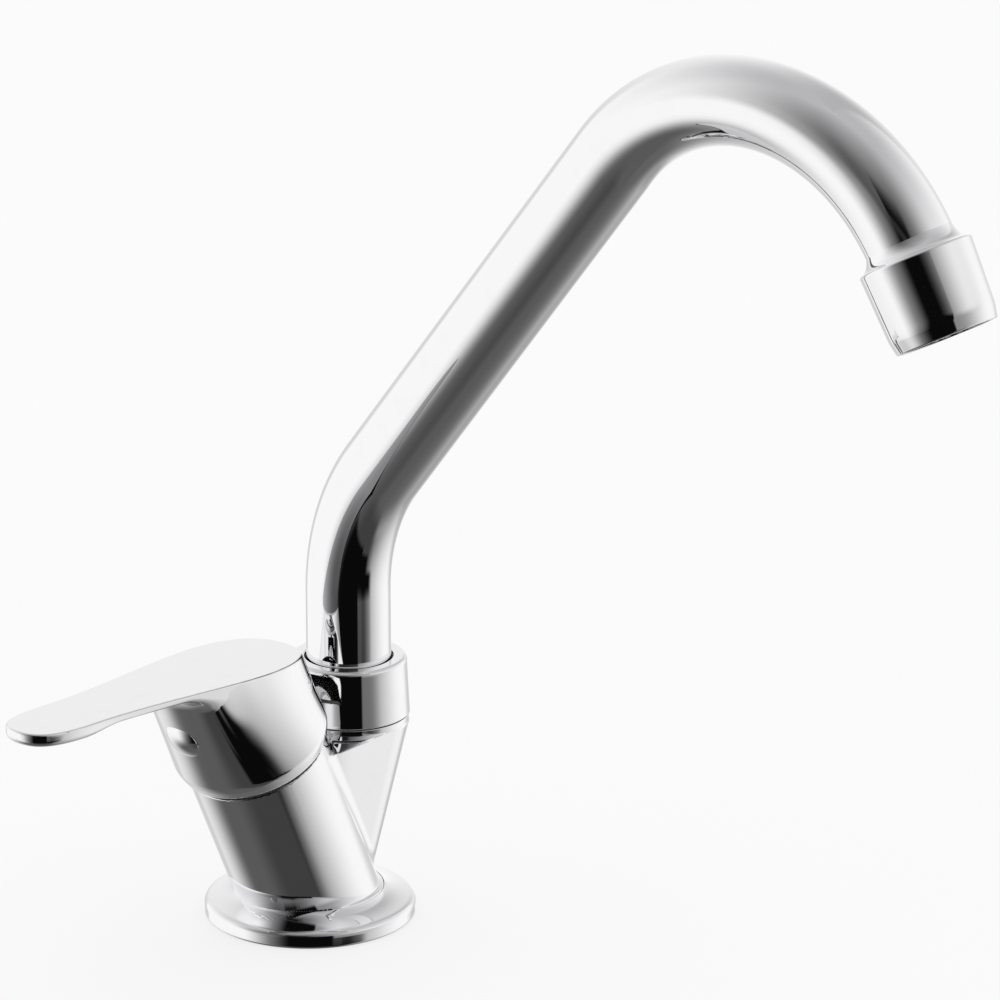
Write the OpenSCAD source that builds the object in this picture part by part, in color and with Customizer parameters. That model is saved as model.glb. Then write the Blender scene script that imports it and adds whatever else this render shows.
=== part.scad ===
// Gooseneck basin mixer: a leaning valve barrel with a lever on top, and a swivelling
// high spout behind it. Origin at the centre of the flange's underside, +Z up.
// At rest the lever points to -Y and the spout is swung to +X.

/* [Flange and foot] */
// Outer radius of the flange
flange_r = 32.4; // [28:0.1:38]
// Height of the flange's upright rim
rim_h = 4.7; // [3:0.1:6]
// Radius of the round foot of the body
foot_r = 22.6; // [20:0.1:24]
// Height of the foot's top edge above the basin
foot_h = 9; // [7:0.1:12]
// Thickness of the rubber ring under the foot
gasket_h = 1.2; // [0.8:0.1:2]
// Radius of the opening in that ring, clear of the stud and the hoses
gasket_in = 18; // [17.6:0.1:20]
// Width of the flange's seat outside the rubber ring
seat_w = 2.2; // [1.5:0.1:4]

/* [Valve barrel] */
// Lean of the barrel towards the lever, degrees from upright
lean = 24.2; // [20:0.1:28]
// How far the barrel's axis passes in front of the flange's centre at the foot
axis_front = 1.6; // [0:0.1:3]
// Length of the barrel along its axis, from the foot to the seam under the cap
barrel_len = 55.4; // [52:0.1:70]
// Radius of the barrel at the seam
barrel_r = 21.8; // [20.8:0.1:22.1]
// Radius of the barrel at the foot
barrel_foot_r = 21.3; // [19:0.1:23]

/* [Spout post] */
// Distance of the post's axis behind the flange's centre
post_y = 18.4; // [17.5:0.1:24]
// Height of the collar nut's lower edge
collar_z = 60.4; // [56:0.1:64]
// Height of the collar nut
collar_h = 18; // [16:0.1:24]
// Radius of the collar nut at its lower edge
collar_r = 18.7; // [17.6:0.1:19]
// Radius of the collar nut at its upper edge
collar_top_r = 17.9; // [17:0.1:18.5]
// Height of the plain band of the body under the collar nut
band_h = 2; // [1:0.1:4]
// How far the web under the post is set behind the flange's centre at the foot
web_foot_y = 8; // [6:0.1:9]
// Radius of the web at the foot
web_foot_r = 13.2; // [10:0.1:13.5]
// Radius of the bore that the spout turns in
socket_r = 11; // [9.5:0.1:11.5]
// Depth of that bore below the collar nut's lower edge
socket_depth = 22; // [20:0.1:26]
// Radius of the body's threaded neck inside the collar nut
neck_r = 15.6; // [14.5:0.1:16]

/* [Spout] */
// Outer radius of the spout tube
tube_r = 13; // [11.5:0.1:13.2]
// Wall of the spout tube
tube_wall = 1.2; // [0.8:0.1:1.5]
// Straight height of the tube above the collar nut
post_rise = 21.1; // [10:0.1:40]
// Radius of the lower bend, at the tube's centre
bend_r = 67; // [40:0.5:90]
// Angle of the lower bend
bend_angle = 38.4; // [25:0.1:50]
// Length of the straight run between the bend and the arch
run_len = 145; // [80:1:200]
// Radius of the arch, at the tube's centre
arch_r = 65.2; // [45:0.1:80]
// Angle of the arch
arch_angle = 113.2; // [90:0.1:130]

/* [Outlet] */
// Length of the outlet housing
outlet_len = 22.9; // [21:0.1:34]
// Outer radius of the outlet housing
outlet_r = 15.5; // [15.4:0.1:18]
// Radius of the outlet's thread
outlet_thread_r = 13.9; // [13.4:0.1:14.4]
// How far the tube goes into the housing
tube_seat = 5; // [3:0.1:7]
// Number of holes in the flow former's inner ring; the outer ring has twice as many
jet_count = 9; // [6:1:10]

/* [Cartridge] */
// Outer radius of the cartridge
cart_r = 17.5; // [16.8:0.1:17.8]
// Depth of the cartridge's seat below the seam, along the barrel
seat_drop = 37.4; // [37.2:0.1:37.9]
// Height of the cartridge's base
base_h = 11; // [9:0.1:11.2]
// Radius of the round chamber inside the case
chamber_r = 15.4; // [15:0.1:15.8]
// Thickness of the fixed ceramic disc
fixed_h = 4.5; // [3:0.1:4.6]
// Thickness of the moving ceramic disc
moving_h = 4; // [3:0.1:4.1]
// Radius of the moving ceramic disc and its carrier
moving_r = 11.8; // [10.5:0.1:12.1]
// Height of the disc carrier
carrier_h = 7; // [6.6:0.1:7.2]
// Radius of the turning collar
turner_r = 11; // [10.4:0.1:11.3]
// Radius of the case's neck
case_neck_r = 13.2; // [12.8:0.1:13.4]
// Height of the case's neck above the seam
neck_above = 1; // [0.5:0.1:1.5]
// Thickness of the case's shoulder
shoulder_h = 2.2; // [1.8:0.1:2.6]
// Radius of the nut's thread
nut_r = 19; // [18.6:0.1:19.4]

/* [Lever stem] */
// Width of the square stem
stem_w = 7.9; // [6.5:0.1:8.2]
// Radius of the ball at the stem's lower end
ball_r = 3; // [2.6:0.1:3.2]
// Distance of the ball's centre below the pivot
ball_drop = 9.4; // [9.2:0.1:9.6]
// Distance of the pivot below the seam
pivot_drop = 4; // [3.6:0.1:4.4]
// Radius of the pivot pin
pin_r = 1.5; // [1.2:0.1:2]

/* [Handle] */
// Radius of the cap's skirt
cap_r = 24.3; // [23.8:0.1:24.8]
// Height of the bevel at the skirt's lower edge
bevel_h = 4.2; // [3:0.1:6]
// Radius of the skirt's lower edge
rim_r = 22.9; // [22.8:0.1:23.4]
// Gap between the cap and the barrel at the seam
seam_gap = 0.3; // [0.3:0.1:1]
// Height at which the lever's top face meets the barrel's axis
top_z = 90.8; // [88:0.1:100]
// Rise of the lever's top face towards its tip, degrees
pitch = 2; // [0:0.1:6]
// Length of the top face in front of the barrel's axis
lever_len = 86.5; // [70:0.5:110]
// Half width of the top face at its widest
head_w = 16.8; // [15.5:0.1:18]
// Half width of the lever near its tip
tip_w = 11.3; // [9:0.1:13]
// Thickness of the lever's blade
blade_t = 2.2; // [1.8:0.1:3]
// Thickness of the finger grip at the tip
grip_t = 4.3; // [3.5:0.1:6]
// Radius of the plug's hole in the cap
plug_r = 4.4; // [3.6:0.1:5]
// Distance of the plug above the seam
plug_up = 23.1; // [21.5:0.1:23.5]
// Radius of the grub screw
grub_r = 2.5; // [2:0.1:3]

/* [Deck fixings] */
// Radius of the tapped hole for the fixing stud
stud_r = 3.4; // [2.5:0.1:4]
// Distance of the stud behind the flange's centre
stud_y = 12; // [11:0.1:13.5]
// Radius of the tapped holes for the two supply hoses
inlet_r = 4.5; // [4:0.1:5]
// Half the distance between the supply holes
inlet_x = 8; // [6:0.1:9]
// Distance of the supply holes in front of the flange's centre
inlet_front = 3; // [2:0.1:4]
// Depth of the stud's hole
stud_depth = 12; // [11.5:0.5:14]
// Depth of the hole for the hot hose
hot_depth = 11; // [10.5:0.1:11.3]
// Depth of the hole for the cold hose
cold_depth = 10; // [9:0.1:10.3]

/* [Hidden] */
$fn = 96;

// Fits: one body turning or sliding in another, and a close seat in the same body
run_fit = 0.05;
seat_fit = 0.02;
face_gap = 0.3;
// Cuts run past the faces that they open by this much
cut = 1;

// Flange: rounding of its lower edge, and the room under it for the rubber ring
lower_edge = 1.6;
room_r = flange_r - lower_edge - seat_w;
rubber_gap = 0.1;

// Stations along the barrel's axis, measured from the foot
seat_s = barrel_len - seat_drop;
base_top = seat_s + base_h;
fixed_top = base_top + fixed_h;
moving_s = fixed_top + seat_fit;
moving_top = moving_s + moving_h;
carrier_top = moving_top + carrier_h;
turner_flange_h = 1.7;
turner_s = carrier_top + face_gap;
ledge_s = turner_s + turner_flange_h + face_gap;
shoulder_s = ledge_s + shoulder_h;
case_top = barrel_len + neck_above;
turner_top = case_top + 0.6;
pivot_s = barrel_len - pivot_drop;
ball_s = pivot_s - ball_drop;
rim_s = barrel_len + seam_gap;
nut_neck_r = 15.2;
nut_neck_h = 4;
bevel_s = rim_s + bevel_h;
plug_s = barrel_len + plug_up;

// The lever's top face crosses the barrel's axis here
top_s = (top_z - foot_h) / cos(lean);
top_y = -axis_front - top_s * sin(lean);
face_lean = lean + pitch;

// Inside the cap: the room around the cover ring, then the core around the boss
ring_r = 18.5;
ring_wall = 1.6;
ring_hole_r = 12.5;
skirt_wall = 0.75;
skirt_in = rim_r - skirt_wall;
ceiling_s = pivot_s + ring_r + 0.8;
ceiling_r = 14.5;
core_r = 14.5;
core_top = plug_s + 0.5;
boss_r = 9;
socket_top = min(plug_s + 5, top_s - 5);

// Heights on the post
collar_top = collar_z + collar_h;
collar_lid = 1.5;
slip_h = 1.5;
bush_flange_h = 2.5;
washer_h = 0.8;
lid_z = collar_top - collar_lid;
slip_z = lid_z - 0.05 - slip_h;
flange_z = slip_z - 0.05 - bush_flange_h;
neck_top = flange_z - washer_h;
socket_z = collar_z - socket_depth;
bush_bore_r = 8.5;
bush_spigot = 17;
flange_out_r = neck_r - 0.4;
seal_r = 0.85;
seal_drops = [7, 14];
seal_groove_h = 2.5;
seal_groove_in = 1.85;

// Deck end of the waterways
way_r = 3.25;
port_r = 3;
port_x = 6.6;
port_y = 4.6;
outlet_port_y = 7.2;

module on_barrel(s = 0) {
  translate([0, -axis_front, foot_h]) rotate([lean, 0, 0]) translate([0, 0, s]) children();
}

module on_top_face() {
  translate([0, top_y, top_z]) rotate([-pitch, 0, 0]) children();
}

module on_post(z = 0) {
  translate([0, post_y, z]) children();
}

// From here the spout's own course: up the post, round the bend, along the run, over the arch
module past_bend() {
  on_post(collar_top + post_rise)
    translate([bend_r * (1 - cos(bend_angle)), 0, bend_r * sin(bend_angle)])
      rotate([0, bend_angle, 0]) children();
}

module past_run() {
  past_bend() translate([0, 0, run_len]) children();
}

module past_arch() {
  past_run() translate([arch_r * (1 - cos(arch_angle)), 0, arch_r * sin(arch_angle)])
    rotate([0, arch_angle, 0]) children();
}

module ring(r_out, r_in, h) {
  difference() {
    cylinder(r = r_out, h = h);
    translate([0, 0, -cut]) cylinder(r = r_in, h = h + 2 * cut);
  }
}

module rod_between(p, q, r) {
  d = q - p;
  len = norm(d);
  translate(p) rotate([0, acos(d[2] / len), atan2(d[1], d[0])]) cylinder(r = r, h = len);
}

// A cubic curve through p[0] and p[3], drawn towards p[1] and p[2]
function curve(p, n) = [for (i = [1 : n]) let (t = i / n, u = 1 - t)
  u * u * u * p[0] + 3 * u * u * t * p[1] + 3 * u * t * t * p[2] + t * t * t * p[3]];

function arc(c, r, from, to, n) = [for (i = [0 : n]) let (a = from + (to - from) * i / n)
  [c[0] + r * cos(a), c[1] + r * sin(a)]];

function mirrored(points) = [for (i = [len(points) - 1 : -1 : 0]) [-points[i][0], points[i][1]]];

// Flange and foot

module base_flange() {
  hole_r = foot_r + run_fit;
  edge = 1.3;
  color("gainsboro") rotate_extrude() polygon(concat(
    [[hole_r, gasket_h], [room_r, gasket_h], [room_r, 0]],
    arc([flange_r - lower_edge, lower_edge], lower_edge, -90, 0, 6),
    arc([flange_r - edge, rim_h - edge], edge, 0, 70, 5),
    curve([[flange_r - edge, rim_h], [flange_r - 5, rim_h + 0.5],
           [foot_r + 1.9, foot_h - 2.2], [hole_r, foot_h - 0.15]], 8)));
}

module base_gasket() {
  color("dimgray") ring(room_r - rubber_gap, gasket_in, gasket_h);
}

// Body casting: foot, leaning barrel, post and the web between them

module body_outside() {
  barrel_sunk = 0.05;
  taper_down = 0.1;
  web_head_h = 1.9;
  band_step = 0.5;
  neck_root = 3;
  translate([0, 0, gasket_h]) cylinder(r = foot_r, h = foot_h - gasket_h);
  difference() {
    on_barrel(-2 * foot_h)
      cylinder(r1 = barrel_foot_r - taper_down, r2 = barrel_r, h = barrel_len + 2 * foot_h);
    translate([-2 * foot_r, -2 * foot_r, foot_h - 4 * foot_r - barrel_sunk])
      cube(4 * foot_r);
  }
  hull() {
    translate([0, web_foot_y, foot_h - 1]) cylinder(r = web_foot_r, h = 1, $fn = 48);
    on_post(collar_z - band_h - web_head_h - 0.1)
      cylinder(r = collar_r, h = web_head_h, $fn = 64);
  }
  on_post(collar_z - band_h - neck_root)
    cylinder(r = collar_r - band_step, h = band_h + neck_root);
  on_post(collar_z - cut) cylinder(r = neck_r, h = neck_top - collar_z + cut);
}

// The stud's hole, the two supply holes and the ways between them and the cartridge's ports
module body_waterways() {
  drilled = 6;
  joint_s = seat_s - 4;
  entry_z = socket_z + 3;
  translate([0, 0, gasket_h - cut]) {
    translate([0, stud_y, 0]) cylinder(r = stud_r, h = stud_depth + cut);
    translate([-inlet_x, -inlet_front, 0]) cylinder(r = inlet_r, h = hot_depth + cut);
    translate([inlet_x, -inlet_front, 0]) cylinder(r = inlet_r, h = cold_depth + cut);
  }
  for (side = [-1, 1]) on_barrel() translate([side * port_x, -port_y, 0])
    cylinder(r = way_r, h = seat_s + cut);
  on_barrel(seat_s - drilled) translate([0, outlet_port_y, 0])
    cylinder(r = way_r, h = drilled + cut);
  start = [0, -axis_front - joint_s * sin(lean) + outlet_port_y * cos(lean),
           foot_h + joint_s * cos(lean) + outlet_port_y * sin(lean)];
  rod_between(start, [0, post_y, entry_z], way_r);
}

module mixer_body() {
  color("silver") difference() {
    body_outside();
    on_barrel(seat_s) cylinder(r = cart_r + run_fit, h = shoulder_s - seat_s + face_gap / 3);
    on_barrel(shoulder_s) cylinder(r = nut_r + run_fit, h = barrel_len);
    on_post(socket_z) cylinder(r = socket_r, h = neck_top - socket_z + cut);
    body_waterways();
  }
}

// Cartridge

// The three water ports, seen along the barrel: two inlets in front, one outlet behind
module ports(r, h) {
  for (side = [-1, 1]) translate([side * port_x, -port_y, 0]) cylinder(r = r, h = h);
  translate([0, outlet_port_y, 0]) cylinder(r = r, h = h);
}

// Recess of each port's seal, the case's overlap with the base, and the O-ring's groove
groove_r = port_r + 1.5;
groove_h = 1.6;
case_lap = 3;
o_groove_drop = 2;
o_groove_h = 1.4;
o_groove_in = 1.2;
o_ring_r = 0.55;

module cartridge_base() {
  color("whitesmoke") on_barrel(seat_s) difference() {
    union() {
      cylinder(r = cart_r, h = base_h - case_lap);
      cylinder(r = chamber_r - run_fit, h = base_h);
    }
    translate([0, 0, -cut]) ports(port_r, base_h + 2 * cut);
    translate([0, 0, -cut]) ports(groove_r, groove_h + cut);
    translate([0, 0, base_h - o_groove_drop])
      ring(chamber_r + cut, chamber_r - o_groove_in, o_groove_h);
  }
}

module port_seals() {
  color("dimgray") on_barrel(seat_s) intersection() {
    ports(groove_r - run_fit, groove_h - run_fit);
    difference() {
      cylinder(r = cart_r, h = groove_h);
      translate([0, 0, -cut]) ports(port_r + rubber_gap, groove_h + 2 * cut);
    }
  }
}

module case_seal() {
  color("dimgray") on_barrel(base_top - o_groove_drop + o_groove_h / 2)
    rotate_extrude() translate([chamber_r - o_ring_r - rubber_gap, 0]) circle(r = o_ring_r);
}

module fixed_disc() {
  color("ivory") on_barrel(base_top) difference() {
    cylinder(r = chamber_r - face_gap / 2, h = fixed_h);
    translate([0, 0, -cut]) ports(port_r, fixed_h + 2 * cut);
  }
}

// Two pegs of the carrier stand in holes of the moving disc
peg_x = moving_r - 2;
peg_r = 1;

module moving_disc() {
  pocket_h = 2;
  pocket_r = moving_r - 4;
  color("ivory") on_barrel(moving_s) difference() {
    cylinder(r = moving_r, h = moving_h);
    translate([0, 0, -cut]) cylinder(r = pocket_r, h = pocket_h + cut);
    for (side = [-1, 1]) translate([side * peg_x, 0, moving_h / 2])
      cylinder(r = peg_r + run_fit, h = moving_h);
  }
}

module disc_carrier() {
  peg_h = 1.6;
  ball_fit = 0.06;
  color("lightgray") on_barrel(moving_top) difference() {
    union() {
      cylinder(r = moving_r, h = carrier_h);
      for (side = [-1, 1]) translate([side * peg_x, 0, -peg_h])
        cylinder(r = peg_r, h = peg_h + cut / 2);
    }
    translate([0, 0, ball_s - moving_top - ball_r - face_gap])
      cylinder(r = ball_r + ball_fit, h = carrier_h);
  }
}

module cartridge_case() {
  color("whitesmoke") on_barrel() difference() {
    union() {
      translate([0, 0, base_top - case_lap])
        cylinder(r = cart_r, h = shoulder_s - base_top + case_lap);
      translate([0, 0, shoulder_s - cut])
        cylinder(r = case_neck_r, h = case_top - shoulder_s + cut);
    }
    translate([0, 0, base_top - case_lap - cut])
      cylinder(r = chamber_r, h = ledge_s - base_top + case_lap + cut);
    cylinder(r = turner_r + run_fit, h = case_top + cut);
  }
}

module turn_collar() {
  slot_w = stem_w + 0.2;
  slot_l = stem_w + 4.8;
  hold_w = 2;
  color("lightgray") on_barrel() difference() {
    union() {
      translate([0, 0, turner_s]) cylinder(r = turner_r + hold_w, h = turner_flange_h);
      translate([0, 0, turner_s]) cylinder(r = turner_r, h = turner_top - turner_s);
    }
    translate([-slot_w / 2, -slot_l / 2, 0]) cube([slot_w, slot_l, turner_top + cut]);
    translate([-2 * turner_r, 0, pivot_s]) rotate([0, 90, 0])
      cylinder(r = pin_r + seat_fit, h = 4 * turner_r);
  }
}

module stem_pin() {
  set_in = 1;
  half = turner_r - set_in;
  color("silver") on_barrel(pivot_s) translate([-half, 0, 0]) rotate([0, 90, 0])
    cylinder(r = pin_r, h = 2 * half);
}

module lever_stem() {
  neck = ball_r * 0.62;
  foot = pivot_s - 4.8;
  color("silver") on_barrel() difference() {
    union() {
      translate([0, 0, ball_s]) sphere(r = ball_r);
      translate([0, 0, ball_s]) cylinder(r = neck, h = foot - ball_s + cut);
      translate([-stem_w / 2, -stem_w / 2, foot])
        cube([stem_w, stem_w, socket_top - face_gap - foot]);
    }
    translate([-stem_w, 0, pivot_s]) rotate([0, 90, 0])
      cylinder(r = pin_r + run_fit, h = 2 * stem_w);
  }
}

module cartridge_nut() {
  color("goldenrod") on_barrel() difference() {
    union() {
      translate([0, 0, shoulder_s]) cylinder(r = nut_r, h = barrel_len - shoulder_s);
      translate([0, 0, barrel_len - cut]) cylinder(r = nut_neck_r, h = nut_neck_h + cut);
    }
    cylinder(r = case_neck_r + 2 * run_fit, h = barrel_len + nut_neck_h + cut);
  }
}

module cover_ring() {
  neck_room_r = nut_neck_r + run_fit;
  neck_room = barrel_len + nut_neck_h + 2 * run_fit;
  color("gainsboro") on_barrel() difference() {
    intersection() {
      translate([0, 0, pivot_s]) sphere(r = ring_r);
      translate([0, 0, barrel_len + seat_fit]) cylinder(r = ring_r + 1, h = ring_r);
    }
    translate([0, 0, barrel_len - cut]) cylinder(r = neck_room_r, h = neck_room - barrel_len + cut);
    intersection() {
      translate([0, 0, pivot_s]) sphere(r = ring_r - ring_wall);
      translate([0, 0, neck_room - cut]) cylinder(r = neck_room_r, h = ring_r);
    }
    translate([0, 0, barrel_len]) cylinder(r = ring_hole_r, h = ring_r + cut);
  }
}

// Handle: one casting of the cap and the lever

// Outline of the top face, from the round rear end along one side to the tip
rear_y = cap_r / cos(face_lean);
side_line = concat(
  [[0, rear_y]],
  curve([[0, rear_y], [10.5, rear_y], [head_w, 15], [head_w, 2]], 10),
  curve([[head_w, 2], [head_w, -14], [tip_w + 0.3, -0.44 * lever_len],
         [tip_w, -0.7 * lever_len]], 8),
  curve([[tip_w, -0.7 * lever_len], [tip_w - 0.1, -0.82 * lever_len],
         [tip_w + 1.2, -lever_len], [0, -lever_len]], 10));

module top_outline(depth) {
  translate([0, 0, -depth]) linear_extrude(height = depth)
    polygon(concat(side_line, mirrored([for (i = [1 : len(side_line) - 2]) side_line[i]])));
}

// Side view of the blade, [along the lever, up]: thin behind, with a thick grip at the tip
module blade_side() {
  grip_y = -0.76 * lever_len;
  polygon(concat(
    [[rear_y + cut, 0], [rear_y + cut, -blade_t], [grip_y + 12, -blade_t]],
    curve([[grip_y + 12, -blade_t], [grip_y + 5, -blade_t], [grip_y + 4, -grip_t],
           [grip_y - 3, -grip_t]], 6),
    curve([[grip_y - 3, -grip_t], [-lever_len + 4, -grip_t - 0.1], [-lever_len, -grip_t + 1],
           [-lever_len - 0.1, -1.2]], 6),
    [[-lever_len - 0.1, -0.6], [-lever_len + 0.5, 0]]));
}

module blade() {
  on_top_face() intersection() {
    top_outline(grip_t + 1);
    translate([-head_w - cut, 0, 0]) rotate([90, 0, 90])
      linear_extrude(height = 2 * (head_w + cut)) blade_side();
  }
}

// The cap's top edge: the face's outline behind, the skirt's own round in front
cap_line = concat(
  [for (p = side_line) if (p[1] > -0.7 * rear_y) p],
  [for (a = [-50 : -10 : -90]) [cap_r * cos(a), rear_y * sin(a)]]);

module cap_outside() {
  plate_lip = 0.1;
  plate_h = 1;
  skirt_h = 0.5;
  hull() {
    on_barrel(bevel_s) cylinder(r = cap_r, h = skirt_h, $fn = 64);
    on_top_face() translate([0, 0, -plate_h - plate_lip]) linear_extrude(height = plate_h)
      offset(delta = -plate_lip)
        polygon(concat(cap_line, mirrored([for (i = [1 : len(cap_line) - 2]) cap_line[i]])));
  }
  on_barrel(rim_s) cylinder(r1 = rim_r, r2 = cap_r, h = bevel_h + 0.1);
}

module cap_inside() {
  on_barrel() {
    rotate_extrude() polygon([[0, barrel_len - cut], [skirt_in, barrel_len - cut],
                              [skirt_in, bevel_s], [ceiling_r, ceiling_s], [0, ceiling_s]]);
    translate([0, 0, ceiling_s - 0.1]) ring(core_r, boss_r, core_top - ceiling_s + 0.1);
    translate([-stem_w / 2 - run_fit, -stem_w / 2 - run_fit, barrel_len])
      cube([stem_w + 2 * run_fit, stem_w + 2 * run_fit, socket_top - barrel_len]);
    translate([0, 0, plug_s]) rotate([90, 0, 0]) cylinder(r = grub_r + seat_fit, h = cap_r);
    translate([0, -core_r, plug_s]) rotate([90, 0, 0]) cylinder(r = plug_r, h = cap_r);
  }
}

// Flat cut at the back of the skirt, so that the lifted cap passes the collar nut
module rear_relief() {
  relief_y = 14.8;
  relief_lean = 62.8;
  on_barrel(barrel_len) translate([0, relief_y, 0]) rotate([relief_lean, 0, 0])
    translate([-cap_r - cut, -10, -30]) cube([2 * (cap_r + cut), 60, 30]);
}

module handle() {
  color("gainsboro") difference() {
    union() {
      cap_outside();
      blade();
    }
    cap_inside();
    rear_relief();
  }
}

module grub_screw() {
  screw_len = 8;
  hex_r = 0.575 * grub_r;
  hex_depth = 2.5;
  color("dimgray") on_barrel(plug_s) rotate([90, 0, 0]) difference() {
    translate([0, 0, stem_w / 2 + seat_fit]) cylinder(r = grub_r, h = screw_len);
    translate([0, 0, stem_w / 2 + screw_len - hex_depth])
      cylinder(r = hex_r, h = hex_depth + cut, $fn = 6);
  }
}

module handle_plug() {
  dish_r = 9;
  dish_depth = 1.2;
  set_in = 0.4;
  face = cap_r - set_in;
  back = core_r + 0.5;
  color("gainsboro") on_barrel(plug_s) rotate([90, 0, 0]) difference() {
    translate([0, 0, back]) cylinder(r = plug_r - seat_fit, h = face - back);
    translate([0, 0, face + dish_r - dish_depth]) sphere(r = dish_r);
  }
}

// Spout swivel

module thrust_washer() {
  color("ivory") on_post(neck_top) ring(flange_out_r, socket_r + 0.2, washer_h);
}

module spout_bush() {
  color("goldenrod") on_post() difference() {
    union() {
      translate([0, 0, socket_z + 1])
        cylinder(r = socket_r - run_fit, h = flange_z - socket_z - 0.5);
      translate([0, 0, flange_z + seat_fit]) cylinder(r = flange_out_r - 0.1, h = bush_flange_h);
      translate([0, 0, flange_z])
        cylinder(r = tube_r - tube_wall - seat_fit, h = bush_flange_h + bush_spigot);
    }
    translate([0, 0, socket_z]) cylinder(r = bush_bore_r, h = 3 * collar_h);
    for (drop = seal_drops) translate([0, 0, collar_z - drop - seal_groove_h / 2])
      ring(socket_r + cut, socket_r - seal_groove_in, seal_groove_h);
  }
}

module spout_seals() {
  color("dimgray") for (drop = seal_drops) on_post(collar_z - drop)
    rotate_extrude() translate([socket_r - run_fit - seal_r, 0]) circle(r = seal_r);
}

module slip_ring() {
  split = 2;
  tube_gap = 0.35;
  color("ivory") on_post(slip_z) difference() {
    ring(flange_out_r, tube_r + tube_gap, slip_h);
    translate([0, -split / 2, -cut]) cube([2 * neck_r, split, slip_h + 2 * cut]);
  }
}

module collar_nut() {
  edge = 1.6;
  color("gainsboro") on_post() difference() {
    rotate_extrude() polygon(concat(
      [[0, collar_z], [collar_r, collar_z]],
      arc([collar_top_r - edge, collar_top - edge], edge, 0, 90, 6),
      [[0, collar_top]]));
    translate([0, 0, collar_z - cut]) cylinder(r = neck_r + run_fit, h = lid_z - collar_z + cut);
    translate([0, 0, lid_z - cut]) cylinder(r = tube_r + face_gap, h = collar_lid + 2 * cut);
  }
}

// Spout and outlet

// Stations along the tube's centre line: [x, height, heading from upright]
tube_start = flange_z + bush_flange_h + seat_fit;
bend_z = collar_top + post_rise;
bend_steps = 7;
arch_steps = 21;
bend_out = [bend_r * (1 - cos(bend_angle)), bend_z + bend_r * sin(bend_angle)];
run_out = bend_out + run_len * [sin(bend_angle), cos(bend_angle)];
arch_centre = run_out + arch_r * [cos(bend_angle), -sin(bend_angle)];
last_heading = bend_angle + arch_angle;
arch_out = arch_centre + arch_r * [-cos(last_heading), sin(last_heading)];
tube_end = arch_out + tube_seat * [sin(last_heading), cos(last_heading)];
stations = concat(
  [[0, tube_start, 0]],
  [for (i = [0 : bend_steps]) let (a = bend_angle * i / bend_steps)
    [bend_r * (1 - cos(a)), bend_z + bend_r * sin(a), a]],
  [for (i = [0 : arch_steps]) let (a = bend_angle + arch_angle * i / arch_steps)
    [arch_centre[0] - arch_r * cos(a), arch_centre[1] + arch_r * sin(a), a]],
  [[tube_end[0], tube_end[1], last_heading]]);

// One closed skin: the outer wall, the bore and the two ring-shaped ends
module pipe_along(course, r_out, r_in, sides) {
  rings = len(course);
  skin = rings * sides;
  points = [for (r = [r_out, r_in / cos(180 / sides)], c = course, k = [0 : sides - 1])
    let (u = r * cos(k * 360 / sides), v = r * sin(k * 360 / sides))
    [c[0] + u * cos(c[2]), v, c[1] - u * sin(c[2])]];
  function pair(a, b, c, d) = [[a, b, c], [a, c, d]];
  walls = [for (i = [0 : rings - 2], k = [0 : sides - 1])
    let (a = i * sides + k, b = i * sides + (k + 1) % sides)
    each concat(pair(a, a + sides, b + sides, b),
                pair(skin + a, skin + b, skin + b + sides, skin + a + sides))];
  ends = [for (k = [0 : sides - 1])
    let (m = (k + 1) % sides, last = skin - sides)
    each concat(pair(k, m, skin + m, skin + k),
                pair(last + k, skin + last + k, skin + last + m, last + m))];
  polyhedron(points = points, faces = concat(walls, ends));
}

module spout_tube() {
  color("gainsboro") on_post() pipe_along(stations, tube_r, tube_r - tube_wall, 36);
}

// Stations along the outlet, measured from the arch's end
washer_ledge = 2;
washer_s = tube_seat + washer_ledge;
washer_t = 1.8;
insert_s = washer_s + washer_t;
mouth_edge = 0.8;
insert_len = outlet_len - insert_s - mouth_edge;
insert_wall = 2.4;
former_r = outlet_thread_r - insert_wall;

module outlet_housing() {
  edge = 1.4;
  color("gainsboro") past_arch() difference() {
    rotate_extrude() polygon(concat(
      [[0, 0]],
      arc([outlet_r - edge, edge], edge, -90, 0, 5),
      arc([outlet_r - mouth_edge, outlet_len - mouth_edge], mouth_edge, 0, 90, 4),
      [[0, outlet_len]]));
    translate([0, 0, -cut]) cylinder(r = tube_r + seat_fit, h = tube_seat + cut + seat_fit);
    cylinder(r = tube_r - tube_wall, h = outlet_len);
    translate([0, 0, washer_s]) cylinder(r = outlet_thread_r, h = outlet_len);
  }
}

module aerator_washer() {
  color("dimgray") past_arch() translate([0, 0, washer_s])
    ring(outlet_thread_r - rubber_gap, former_r - 4 * rubber_gap, washer_t);
}

module aerator_body() {
  lip = 1;
  slot_w = 3;
  slot_h = 0.9;
  color("gainsboro") past_arch() translate([0, 0, insert_s]) difference() {
    cylinder(r = outlet_thread_r - run_fit, h = insert_len);
    translate([0, 0, -cut]) cylinder(r = former_r, h = insert_len - 1 + cut);
    cylinder(r = former_r - lip, h = insert_len + cut);
    for (turn = [0, 180]) rotate([0, 0, turn])
      translate([former_r - lip - cut, -slot_w / 2, insert_len - slot_h])
        cube([lip + insert_wall + 2 * cut, slot_w, slot_h + cut]);
  }
}

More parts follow.
